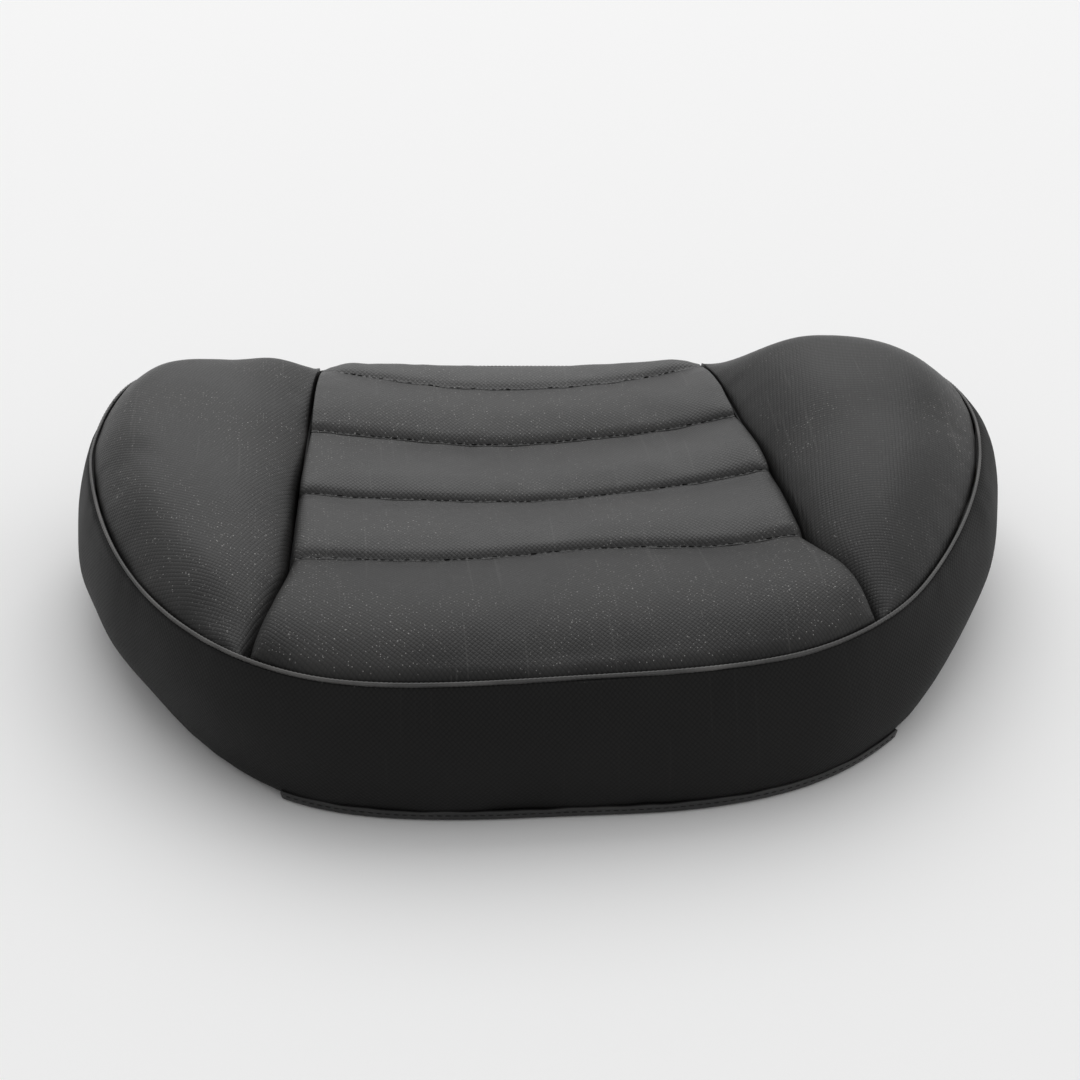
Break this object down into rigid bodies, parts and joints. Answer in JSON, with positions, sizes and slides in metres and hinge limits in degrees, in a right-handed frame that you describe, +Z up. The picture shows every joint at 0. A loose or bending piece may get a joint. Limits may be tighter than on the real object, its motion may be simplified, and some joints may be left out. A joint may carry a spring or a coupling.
{
  "type": "motorcycle seat",
  "caption": "Wide dished solo motorcycle seat: sewn channel panels between two raised bolsters, boxing band and welt over foam on a ribbed pan.",
  "frame": {"origin": "under the middle of the seat, at the level its feet and lower edge stand on", "axes": "+Z up, -Y towards the thigh edge, +X to the right as seen from the thigh edge"},
  "size_m": [0.5096, 0.3289, 0.108],
  "materials": {
    "cover_vinyl": "matt black embossed vinyl with a fine woven square grain",
    "boxing_vinyl": "matt black embossed vinyl, cut on the bias",
    "welt": "twisted black piping",
    "hem_binding": "stitched binding tape",
    "thread": "bonded black sewing thread",
    "foam": "moulded open-cell foam",
    "pan_plastic": "textured moulded plastic",
    "steel": "zinc plated",
    "rubber": "moulded rubber",
    "listing_cloth": "plain cotton tape"
  },
  "bodies": {
    "root": {"seat_pan": "pan_plastic", "pan_rim": "pan_plastic", "pan_ribs": "pan_plastic", "foam_core": "foam", "front_roll_panel": "cover_vinyl", "front_channel_panel": "cover_vinyl", "middle_channel_panel": "cover_vinyl", "rear_channel_panel": "cover_vinyl", "rear_roll_panel": "cover_vinyl", "left_bolster": "cover_vinyl", "right_bolster": "cover_vinyl", "front_boxing": "boxing_vinyl", "rear_boxing": "boxing_vinyl", "front_welt": "welt", "rear_welt": "welt", "front_hem_strip": "hem_binding", "cover_turn_under": "boxing_vinyl", "left_trench_listing": "listing_cloth", "right_trench_listing": "listing_cloth", "left_listing_wire": "steel", "right_listing_wire": "steel", "left_anchor_wire": "steel", "right_anchor_wire": "steel", "hog_rings": "steel", "staples": "steel", "front_strap": "steel", "rear_strap": "steel", "threaded_inserts": "steel", "strap_rivets": "steel", "rubber_bumpers": "rubber"}
  },
  "joints": []
}
